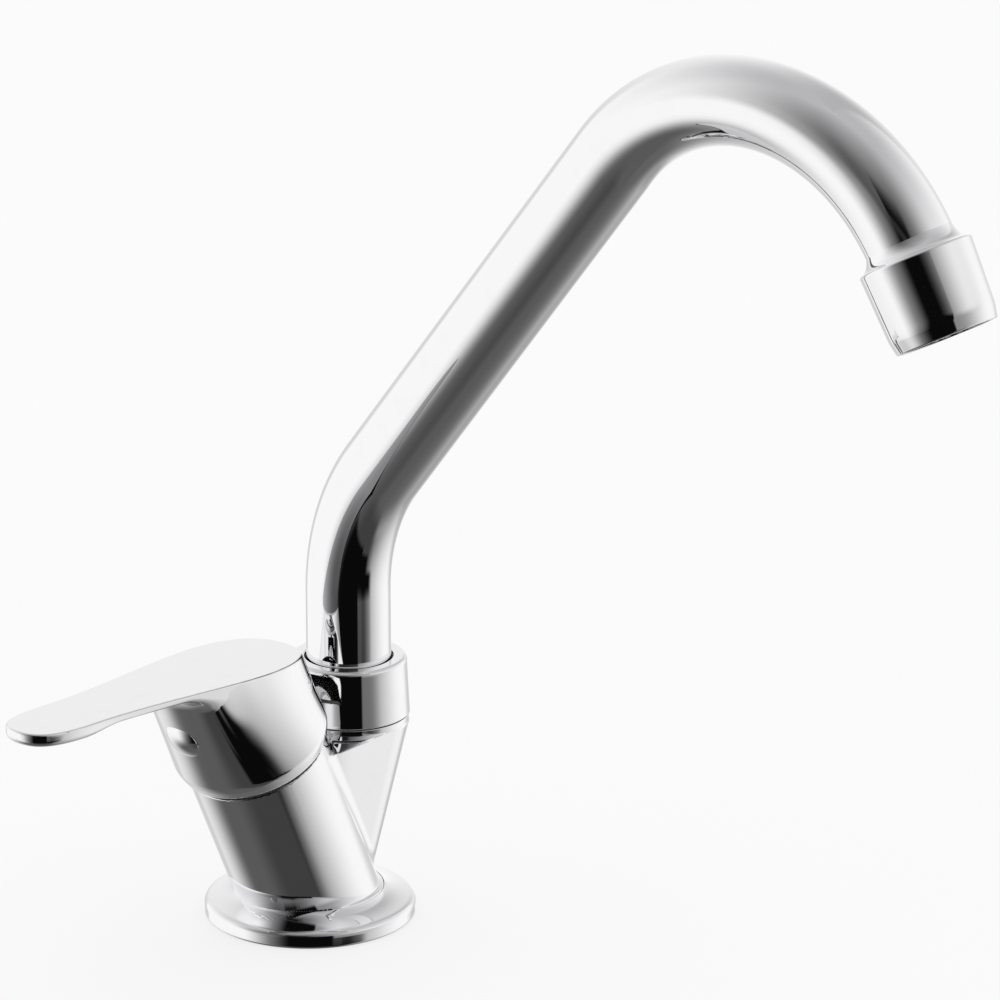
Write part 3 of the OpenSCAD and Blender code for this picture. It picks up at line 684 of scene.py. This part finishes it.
# The wall's radius at the top face for each bearing from the lever, as a sum of cosines
seen = side_line[side_line[:, 1] > -0.5 * LEVER_LEN] * (1, face_cos)
bearing = np.arctan2(seen[:, 0], -seen[:, 1])
bearings = np.linspace(0, math.pi, 721)
wall_top = np.interp(bearings, bearing[::-1], np.hypot(*seen.T)[::-1])
in_front = CAP_R - FRONT_BLEND * np.logaddexp((CAP_R - wall_top) / FRONT_BLEND, 0)
wall_top = np.where(bearings < math.pi / 2, in_front, wall_top)
blend = np.cos(bearings[:, None] * np.arange(WALL_WAVES + 1))
wall_waves = np.linalg.lstsq(blend, wall_top, rcond=None)[0]


def measure_outline(spots):
    """Distance of each spot to the top face's outline, negative inside, and its slope."""
    start = side_line[:-1]
    run = side_line[1:] - start
    depths = []
    slopes = []
    for part in np.array_split(spots, 1 + len(spots) // 4000):
        offset = part[:, None] - start
        share = np.clip((offset * run).sum(2) / (run * run).sum(1), 0, 1)
        gap = offset - share[..., None] * run
        row = np.arange(len(part))
        nearest = (gap * gap).sum(2).argmin(1)
        gap = gap[row, nearest]
        offset = offset[row, nearest]
        along = run[nearest]
        away = np.maximum(np.hypot(gap[:, 0], gap[:, 1]), 1e-9)
        side = np.where(along[:, 0] * offset[:, 1] > along[:, 1] * offset[:, 0], 1, -1)
        depths.append(away * side)
        slopes.append(gap / away[:, None] * side[:, None])
    return np.concatenate(depths), np.concatenate(slopes)


# The outline is measured once, on a grid that reaches past it on every side. Beyond the grid a
# spot counts as FAR from it
GRID = 0.25
FAR = 5.0
grid_x = np.arange(-1, HEAD_W + 12, GRID)
grid_y = np.arange(-LEVER_LEN - 5, rear_y + 5, GRID)
grid_spots = np.stack(np.meshgrid(grid_x, grid_y, indexing="ij"), -1).reshape(-1, 2)
grid_depth, grid_slope = measure_outline(grid_spots)
grid_depth = grid_depth.reshape(len(grid_x), len(grid_y))
grid_slope = grid_slope.reshape(len(grid_x), len(grid_y), 2)


def outline_depth(across, along):
    """Distance to the top face's outline in its own plane, read between the grid's spots."""
    u = (np.abs(across) - grid_x[0]) / GRID
    v = (along - grid_y[0]) / GRID
    i = np.clip(u.astype(int), 0, len(grid_x) - 2)
    j = np.clip(v.astype(int), 0, len(grid_y) - 2)
    total = np.zeros(len(u))
    for di, dj in itertools.product((0, 1), repeat=2):
        right = u - i - di
        ahead = v - j - dj
        share = np.clip(1 - np.abs(right), 0, 1) * np.clip(1 - np.abs(ahead), 0, 1)
        slope = grid_slope[i + di, j + dj]
        reach = (slope[:, 0] * right + slope[:, 1] * ahead) * GRID
        total += share * (grid_depth[i + di, j + dj] + reach)
    far = (u > len(grid_x) - 1) | (v < 0) | (v > len(grid_y) - 1)
    return np.where(far, FAR, total)


def eased(value):
    """Smooth step from 0 to 1."""
    value = np.clip(value, 0, 1)
    return value * value * (3 - 2 * value)


def handle_depth(points):
    """Distance to the skin of the cap and lever, negative inside the metal."""
    x = points[:, 0]
    behind, along = barrel_axes(points)
    from_axis = np.hypot(x, behind)
    rear = points[:, 1] - top_y
    rise = points[:, 2] - TOP_Z
    back = rear * pitch_cos - rise * pitch_sin
    up = rear * pitch_sin + rise * pitch_cos

    # Wall between the round skirt and the top face's outline
    turn = np.arctan2(np.abs(x), -behind)
    top_r = sum(w * np.cos(n * turn) for n, w in enumerate(wall_waves))
    share = np.clip((along - bevel_s) / np.maximum(along - bevel_s - up, 0.1), 0, 1)
    wall = (from_axis - CAP_R - (top_r - CAP_R) * share) * WALL_SCALE
    bevel_slope = (CAP_R - RIM_R) / BEVEL_H
    bevel = (from_axis - CAP_R + (bevel_s - along) * bevel_slope) / math.hypot(1, bevel_slope)
    cap = rounded_meet(wall, bevel, BEVEL_EDGE)
    cap = rounded_meet(cap, up, TOP_EDGE)

    # Blade, with a fillet under it where it leaves the wall. Its edge is rounder at both ends
    thick = eased((grip_y + GRIP_AHEAD - back) / GRIP_RUN)
    under = -up - BLADE_T - (GRIP_T - BLADE_T) * thick
    edge = outline_depth(x, back)
    flared = rounded_join(wall, under, UNDER_FILLET)
    at_cap = eased((back + ROOT_FROM) / ROOT_RUN)
    blade = rounded_meet(flared, edge, BLADE_EDGE + GRIP_EDGE * thick + ROOT_EDGE * at_cap)
    blade = rounded_meet(blade, up, TOP_EDGE)
    solid = np.minimum(cap, np.maximum(blade, -up - BLADE_DEEP))
    solid = rounded_meet(solid, rim_s - along, LIP_EDGE)

    # Flat relief at the back, where the lifted cap passes the collar nut
    relief = (behind - RELIEF_Y) * relief_sin - (along - BARREL_LEN) * relief_cos
    solid = rounded_meet(solid, relief, RELIEF_EDGE)

    # Room for the ring, ring-shaped core, square socket, screw and plug
    room_r = np.interp(along, [bevel_s, ceiling_s], [RIM_R - SKIRT_WALL, CEILING_R])
    room = np.maximum(from_axis - room_r, along - ceiling_s)
    core = np.maximum(np.abs(from_axis - (CEILING_R + BOSS_R) / 2) - (CEILING_R - BOSS_R) / 2,
                      along - plug_s - CORE_PAST)
    core = np.maximum(core, ceiling_s - CORE_LAP - along)
    socket = np.maximum(np.maximum(np.abs(x), np.abs(behind)) - STEM_W / 2, along - socket_top)
    from_screw = np.hypot(x, along - plug_s)
    screw = np.maximum(from_screw - GRUB_R, behind)
    plug = np.maximum(from_screw - PLUG_R, behind + CEILING_R)
    holes = np.minimum(np.minimum(room, core), np.minimum(socket, screw))
    return np.maximum(solid, -np.minimum(holes, plug))


HANDLE_GRID = 0.5
cap_and_lever = cast(
    "cap_and_lever", handle_depth, (-26, -127, 48), (26, -9, 96), HANDLE_GRID * coarse
)
cap_and_lever.data.materials.append(chrome)

# Inside the skirt and under its lip the faces are painted dark: painted shade for the inside of the cap and
# the shadow at the seam
cap_and_lever.data.materials.append(painted_shade_metal)
SKIN = 0.15
LOOKING_DOWN = 0.6
face_count = len(cap_and_lever.data.polygons)
centres = np.empty(face_count * 3)
facing = np.empty(face_count * 3)
cap_and_lever.data.polygons.foreach_get("center", centres)
cap_and_lever.data.polygons.foreach_get("normal", facing)
centres = centres.reshape(-1, 3) / MM
facing = facing.reshape(-1, 3)
behind, along = barrel_axes(centres)
outward = np.hypot(centres[:, 0], behind)
down = facing[:, 1] * lean_sin - facing[:, 2] * lean_cos
under_lip = (along < rim_s + LIP_H) & (down > LOOKING_DOWN)
room_r = np.interp(along, [bevel_s, ceiling_s], [RIM_R - SKIRT_WALL, CEILING_R])
inside_cap = (along < plug_s - PLUG_R - 1) & (outward < room_r + SKIN)
painted_shade_faces = (under_lip | inside_cap).astype(np.int32)
cap_and_lever.data.polygons.foreach_set("material_index", painted_shade_faces)
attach(cap_and_lever, "lever")
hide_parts("handle")


# Plug
# A domed button of chromed plastic, pressed into the cap over the clamping screw. Its rim laps
# over the hole and is shaped to the wall.

BUTTON_R = 6.1
BUTTON_SIDE = 23.9
BUTTON_LAP = 21.5
DOME_H = 2.1
PLUG_IN = 0.5
PLUG_FIT = 0.02

dome_r = (BUTTON_R**2 + DOME_H**2) / (2 * DOME_H)
dome_turn = math.degrees(math.acos(BUTTON_R / dome_r))
shank_r = PLUG_R - PLUG_FIT
shank_end = CEILING_R + PLUG_IN
plug_outline = [(0, shank_end), (shank_r, shank_end), (shank_r, BUTTON_LAP), (BUTTON_R, BUTTON_LAP)]
plug_outline += arc((0, BUTTON_SIDE + DOME_H - dome_r), dome_r, dome_turn, 90, 32)
plug_disc = turned("plug_disc", plug_outline,
                   on_barrel(plug_s) @ Matrix.Rotation(math.radians(90), 4, "X"))
plug_disc.data.materials.append(chrome)
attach(plug_disc, "lever")
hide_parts("handle_plug")


# Spout swivel
# Brass bush with two rubber rings in the post's bore, a low-friction washer under its flange
# and a split ring of black plastic above it, under the lid of the collar nut.

BLACK_PLASTIC = (0.02, 0.02, 0.022)
BLACK_PLASTIC_WORN = (0.05, 0.05, 0.05)

finish_node("spout_bush", brass)
finish_node("spout_seals", rubber)
finish_node("thrust_washer", white_plastic)
black_plastic = moulded(
    "black_plastic", BLACK_PLASTIC, BLACK_PLASTIC_WORN, roughness=0.45, grain=500, height=0.00002
)
finish_node("slip_ring", black_plastic)


# Collar nut
# Turned brass, chrome plated. It screws on the post's neck and holds the bush down, so that the
# spout turns without lifting.

NUT_EDGE = 1.6
LID_T = 1.5
LID_GAP = 0.55
LID_EDGE = 0.5
NUT_LOW_EDGE = 0.3
TUBE_R = 13.0

collar_top = COLLAR_Z + COLLAR_H
collar_outline = (
    [(bore_r, COLLAR_Z), (COLLAR_R - NUT_LOW_EDGE, COLLAR_Z)]
    + arc((COLLAR_R - NUT_LOW_EDGE, COLLAR_Z + NUT_LOW_EDGE), NUT_LOW_EDGE, -90, -2, 5)[1:]
    + arc((COLLAR_TOP_R - NUT_EDGE, collar_top - NUT_EDGE), NUT_EDGE, 2, 90, 12)
    + arc((TUBE_R + LID_GAP + LID_EDGE, collar_top - LID_EDGE), LID_EDGE, 90, 180, 6)
    + [(TUBE_R + LID_GAP, collar_top - LID_T), (bore_r, collar_top - LID_T)]
)
collar_turned = turned("collar_turned", collar_outline, on_post)
collar_turned.data.materials.append(chrome)
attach(collar_turned, "body")
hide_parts("collar_nut")


# Spout tube
# Thin brass tube, bent cold on a mandrel, polished and chrome plated: up from the post, a lower
# bend, a straight run and the arch over the basin.

TUBE_WALL = 1.2
TUBE_START = 75.32
POST_RISE = 21.1
BEND_R = 67.0
BEND_ANGLE = 38.4
RUN_LEN = 145.0
ARCH_R = 65.2
ARCH_ANGLE = 112.4
TUBE_SEAT = 5.0

bend_z = collar_top + POST_RISE
heading = math.radians(BEND_ANGLE)
run_start = np.array([BEND_R * (1 - math.cos(heading)), bend_z + BEND_R * math.sin(heading)])
run_end = run_start + RUN_LEN * np.array([math.sin(heading), math.cos(heading)])
arch_centre = run_end + ARCH_R * np.array([math.cos(heading), -math.sin(heading)])
last_heading = math.radians(BEND_ANGLE + ARCH_ANGLE)
arch_end = arch_centre + ARCH_R * np.array([-math.cos(last_heading), math.sin(last_heading)])
tube_end = arch_end + TUBE_SEAT * np.array([math.sin(last_heading), math.cos(last_heading)])


def tube_course():
    """Stations of the tube's centre line: x, height and heading from upright."""
    stations = [(0, h, 0) for h in np.linspace(TUBE_START, bend_z, 8)[:-1]]
    stations += [(BEND_R * (1 - math.cos(a)), bend_z + BEND_R * math.sin(a), a)
                 for a in np.linspace(0, heading, 40)]
    stations += [(*(run_start + (run_end - run_start) * t), heading)
                 for t in np.linspace(0, 1, 12)[1:-1]]
    stations += [(*(arch_centre + ARCH_R * np.array([-math.cos(a), math.sin(a)])), a)
                 for a in np.linspace(heading, last_heading, 120)]
    return stations + [(*tube_end, last_heading)]


def bent_tube(name, course, outer, inner, sides=144):
    """A tube along a course, with both walls and both ends."""
    turn = np.linspace(0, 2 * math.pi, sides, endpoint=False)
    rings = len(course)
    points = []
    outward = []
    for radius in (outer, inner):
        for x, z, way in course:
            flat = np.stack([np.cos(turn) * math.cos(way), np.sin(turn), -np.cos(turn) * math.sin(way)], 1)
            points.append(flat * radius + (x, POST_Y, z))
            outward.append(flat)
    points = np.concatenate(points)
    outward = np.concatenate(outward)
    skin = rings * sides
    faces = []
    normals = []

    def add(face, lights):
        faces.append(face)
        normals.extend(lights)

    for ring in range(rings - 1):
        for k in range(sides):
            a = ring * sides + k
            b = ring * sides + (k + 1) % sides
            outside = [a, b, b + sides, a + sides]
            add(outside, outward[outside])
            inside = [skin + a, skin + a + sides, skin + b + sides, skin + b]
            add(inside, -outward[inside])
    for ring, sign in ((0, -1), (rings - 1, 1)):
        way = course[ring][2]
        end = np.array([math.sin(way), 0, math.cos(way)]) * sign
        for k in range(sides):
            a = ring * sides + k
            b = ring * sides + (k + 1) % sides
            face = [a, b, skin + b, skin + a]
            add(face[::-1] if sign < 0 else face, [end] * 4)
    return add_piece(name, points, faces, normals)


spout_bent = bent_tube("spout_bent", tube_course(), TUBE_R, TUBE_R - TUBE_WALL)
spout_bent.data.materials.append(chrome)
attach(spout_bent, "spout")
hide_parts("spout_tube")


# Outlet housing
# A turned brass sleeve, chrome plated, silver-soldered over the end of the tube. Its mouth holds
# the aerator.

OUTLET_LEN = 24.5
OUTLET_TOP_R = 16.7
WAIST = (15.95, 18.4)
BEVEL = (15.72, 21.0)
MOUTH_R = 15.1
THREAD_R = 13.9
SHOULDER_START = 5.4
SHOULDER_EDGE = 0.9
MOUTH_EDGE = 0.6
BLEND_IN = 0.3
THREAD_EDGE = 0.25
STEP_H = 2.0
END_GAP = 0.02
SOLDER_GAP = 0.08

washer_s = TUBE_SEAT + STEP_H
seat_s = TUBE_SEAT + END_GAP
seat_r = TUBE_R + SOLDER_GAP
tube_bore_r = TUBE_R - TUBE_WALL
at_outlet = (
    Matrix.Translation((arch_end[0], POST_Y, arch_end[1]))
    @ Matrix.Rotation(last_heading, 4, "Y")
)

# Hollow shoulder, taper to the waist, bevelled mouth, threaded bore and the tube's seat
outlet_outline = (
    [(TUBE_R - BLEND_IN, -SHOULDER_START)]
    + bend([(TUBE_R - BLEND_IN, -SHOULDER_START), (TUBE_R + 0.3, -2.2), (OUTLET_TOP_R - 2.2, -0.5),
            (OUTLET_TOP_R - SHOULDER_EDGE, 0)], 24)
    + arc((OUTLET_TOP_R - SHOULDER_EDGE, SHOULDER_EDGE), SHOULDER_EDGE, -80, -2, 10)
    + [WAIST]
    + bend([WAIST, (WAIST[0] - 0.04, WAIST[1] + 1), (BEVEL[0] + 0.15, BEVEL[1] - 1), BEVEL], 10)
    + arc((MOUTH_R - MOUTH_EDGE, OUTLET_LEN - MOUTH_EDGE), MOUTH_EDGE, 12, 90, 16)
    + arc((THREAD_R + THREAD_EDGE, OUTLET_LEN - THREAD_EDGE), THREAD_EDGE, 90, 180, 14)
    + [(THREAD_R, washer_s), (tube_bore_r, washer_s), (tube_bore_r, seat_s), (seat_r, seat_s),
       (seat_r, 0)]
)
outlet_turned = turned("outlet_turned", outlet_outline, at_outlet, crisp=9)
outlet_turned.data.materials.append(chrome)
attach(outlet_turned, "spout")
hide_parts("outlet_housing")


# Aerator
# Rubber washer, chromed ring with two key slots, white plastic flow former with its holes, and
# a woven steel screen just inside the mouth.

for node, material in (
    ("aerator_washer", rubber), ("aerator_body", chrome), ("flow_former", white_plastic),
    ("aerator_screen", steel),
):
    finish_node(node, material)


# Camera, floor and light
# The camera stands where the photograph was taken from. A pale floor carries the object, and an
# even white room with soft dark cards gives the chrome its stripes.

AZIMUTH = 40.73
ELEVATION = 18.6
CAMERA_PLACE = (1.290435, -1.409658, 0.775382)
LENS = 241.69
FLOOR_HALF = 9
FLOOR_DROP = 0.0002
FLOOR_SHADE = (0.9, 0.9, 0.9, 1)
FLOOR_GLOW = 0.75
ROOM_LIGHT = (0.95, 0.95, 0.95, 1)
COOL = 1.01

camera_data = bpy.data.cameras.new("camera")
camera_data.sensor_width = 36
camera_data.lens = LENS
camera_data.clip_start = 0.05
camera_data.clip_end = 50
camera = bpy.data.objects.new("camera", camera_data)
camera.location = CAMERA_PLACE
camera.rotation_euler = (math.radians(90 - ELEVATION), 0, math.radians(AZIMUTH))
bpy.context.scene.collection.objects.link(camera)
bpy.context.scene.camera = camera

floor_mesh = bpy.data.meshes.new("floor")
corners = [(-1, -1), (1, -1), (1, 1), (-1, 1)]
floor_mesh.from_pydata([(x * FLOOR_HALF, y * FLOOR_HALF, 0) for x, y in corners], [], [(0, 1, 2, 3)])
floor = bpy.data.objects.new("floor", floor_mesh)
floor.location.z = -FLOOR_DROP
floor.visible_glossy = False
bpy.context.scene.collection.objects.link(floor)
pale, nodes, links, output = shader("pale_floor")
matt = nodes.new("ShaderNodeBsdfDiffuse")
matt.inputs["Color"].default_value = FLOOR_SHADE
glow = nodes.new("ShaderNodeEmission")
glow.inputs["Strength"].default_value = 1.0
path = nodes.new("ShaderNodeLightPath")
seen_rays = nodes.new("ShaderNodeMath")
seen_rays.operation = "MULTIPLY"
seen_rays.inputs[1].default_value = FLOOR_GLOW
mixed_floor = nodes.new("ShaderNodeMixShader")
links.new(path.outputs["Is Camera Ray"], seen_rays.inputs[0])
links.new(seen_rays.outputs[0], mixed_floor.inputs["Fac"])
links.new(matt.outputs[0], mixed_floor.inputs[1])
links.new(glow.outputs[0], mixed_floor.inputs[2])
links.new(mixed_floor.outputs[0], output.inputs["Surface"])
floor_mesh.materials.append(pale)

# One card of the studio, seen far away. Its edges are given as angles, each with the angle at
# which the card has faded out. Azimuth 0 is the way to the camera and grows to the right.
EDGES = ("Left Out", "Left In", "Right In", "Right Out", "Low Out", "Low In", "High In", "High Out")
card, card_in, card_out = new_group(
    "studio_card",
    [("Direction", "NodeSocketVector", (0, 0, 1)), ("Azimuth", "NodeSocketFloat", 0.0)]
    + [(edge, "NodeSocketFloat", 0.0) for edge in EDGES],
    [("Mask", "NodeSocketFloat")],
)


def sum_node(tree, operation, first, second=None, third=None):
    """A Math node of a node tree; each value is a number or a socket."""
    node = tree.nodes.new("ShaderNodeMath")
    node.operation = operation
    for socket, value in zip(node.inputs, (first, second, third)):
        if isinstance(value, bpy.types.NodeSocket):
            tree.links.new(value, socket)
        elif value is not None:
            socket.default_value = value
    return node.outputs[0]


def edge_node(tree, angle, faded, full):
    """1 past the full angle, falling softly to 0 at the faded one."""
    fade = tree.nodes.new("ShaderNodeMapRange")
    fade.interpolation_type = "SMOOTHSTEP"
    tree.links.new(angle, fade.inputs["Value"])
    tree.links.new(faded, fade.inputs["From Min"])
    tree.links.new(full, fade.inputs["From Max"])
    return fade.outputs["Result"]


way = card.nodes.new("ShaderNodeSeparateXYZ")
card.links.new(card_in.outputs["Direction"], way.inputs[0])
turn_angle = sum_node(card, "ARCTAN2", way.outputs["X"], sum_node(card, "MULTIPLY", way.outputs["Y"], -1.0))
turn_angle = sum_node(card, "SUBTRACT", sum_node(card, "DEGREES", turn_angle), AZIMUTH)
turn_angle = sum_node(card, "SUBTRACT", turn_angle, card_in.outputs["Azimuth"])
turn_angle = sum_node(card, "WRAP", turn_angle, 180.0, -180.0)
height_angle = sum_node(card, "DEGREES", sum_node(card, "ARCSINE", way.outputs["Z"]))
mask = None
for angle, faded, full in (
    (turn_angle, "Left Out", "Left In"), (turn_angle, "Right Out", "Right In"),
    (height_angle, "Low Out", "Low In"), (height_angle, "High Out", "High In"),
):
    edge = edge_node(card, angle, card_in.outputs[faded], card_in.outputs[full])
    mask = edge if mask is None else sum_node(card, "MULTIPLY", mask, edge)
card.links.new(mask, card_out.inputs["Mask"])

CARDS = (
    # azimuth, four edges to its left and right, four edges of height above the horizon, shade
    (0, -999, -998, 998, 999, 2, 72, 83, 121, 0.503),
    (-153, -36, -2, 2, 13, -52, -25, -15, 36, 0.665),
    (154, -26, -3, 3, 16, -64, -47, -37, 24, 0.546),
    (151, -12, -3, 3, 35, -12, 50, 93, 119, 0.474),
    (-21, -82, -18, 18, 102, 0, 20, 30, 98, 0.102),
    (-15, -14, -10, 10, 20, -55, -45, 26, 45, 0.006),
    (-7, -71, -34, 34, 126, -60, -52, 13, 26, 0.254),
    (0, -999, -998, 998, 999, -158, -103, -78, -19, 0.127),
    (-35, -103, -53, 53, 134, -165, -109, -59, -29, 0.105),
    (21, -82, -21, 21, 46, -75, -61, -28, -2, 0.051),
    (2, -54, -22, 22, 26, -50, -46, 17, 29, 0.003),
    (31, -9, -7, 12, 20, -47, -43, -29, -15, 0.003),
    (48, -14, -10, 8, 20, -38, -33, -28, -14, 0.003),
)

world = bpy.data.worlds.new("studio")
bpy.context.scene.world = world
world.use_nodes = True
studio = world.node_tree
studio.nodes.clear()
direction = studio.nodes.new("ShaderNodeTexCoord")
ray = studio.nodes.new("ShaderNodeLightPath")
white = studio.nodes.new("ShaderNodeRGB")
white.outputs[0].default_value = (1, 1, 1, 1)
room_colour = white.outputs[0]
for azimuth, *edges, shade in CARDS:
    card_node = studio.nodes.new("ShaderNodeGroup")
    card_node.node_tree = card
    studio.links.new(direction.outputs["Generated"], card_node.inputs["Direction"])
    card_node.inputs["Azimuth"].default_value = azimuth
    for label, value in zip(EDGES, edges):
        card_node.inputs[label].default_value = value
    covered = studio.nodes.new("ShaderNodeMix")
    covered.data_type = "RGBA"
    studio.links.new(card_node.outputs["Mask"], covered.inputs["Factor"])
    studio.links.new(room_colour, covered.inputs["A"])
    covered.inputs["B"].default_value = (shade, shade, shade * COOL, 1)
    room_colour = covered.outputs["Result"]

# The camera sees a white backdrop; metal sees the same white with the cards standing in it
seen_colour = studio.nodes.new("ShaderNodeMix")
seen_colour.data_type = "RGBA"
studio.links.new(ray.outputs["Is Camera Ray"], seen_colour.inputs["Factor"])
studio.links.new(room_colour, seen_colour.inputs["A"])
studio.links.new(white.outputs[0], seen_colour.inputs["B"])
backdrop = studio.nodes.new("ShaderNodeBackground")
studio.links.new(seen_colour.outputs["Result"], backdrop.inputs["Color"])
soft_light = studio.nodes.new("ShaderNodeBackground")
soft_light.inputs["Color"].default_value = ROOM_LIGHT
mirrored = sum_node(studio, "ADD", ray.outputs["Is Glossy Ray"], ray.outputs["Is Transmission Ray"])
shown = sum_node(studio, "ADD", ray.outputs["Is Camera Ray"], mirrored)
chosen = studio.nodes.new("ShaderNodeMixShader")
world_output = studio.nodes.new("ShaderNodeOutputWorld")
studio.links.new(shown, chosen.inputs["Fac"])
studio.links.new(soft_light.outputs[0], chosen.inputs[1])
studio.links.new(backdrop.outputs[0], chosen.inputs[2])
studio.links.new(chosen.outputs[0], world_output.inputs["Surface"])
bpy.context.scene.view_settings.view_transform = "Standard"
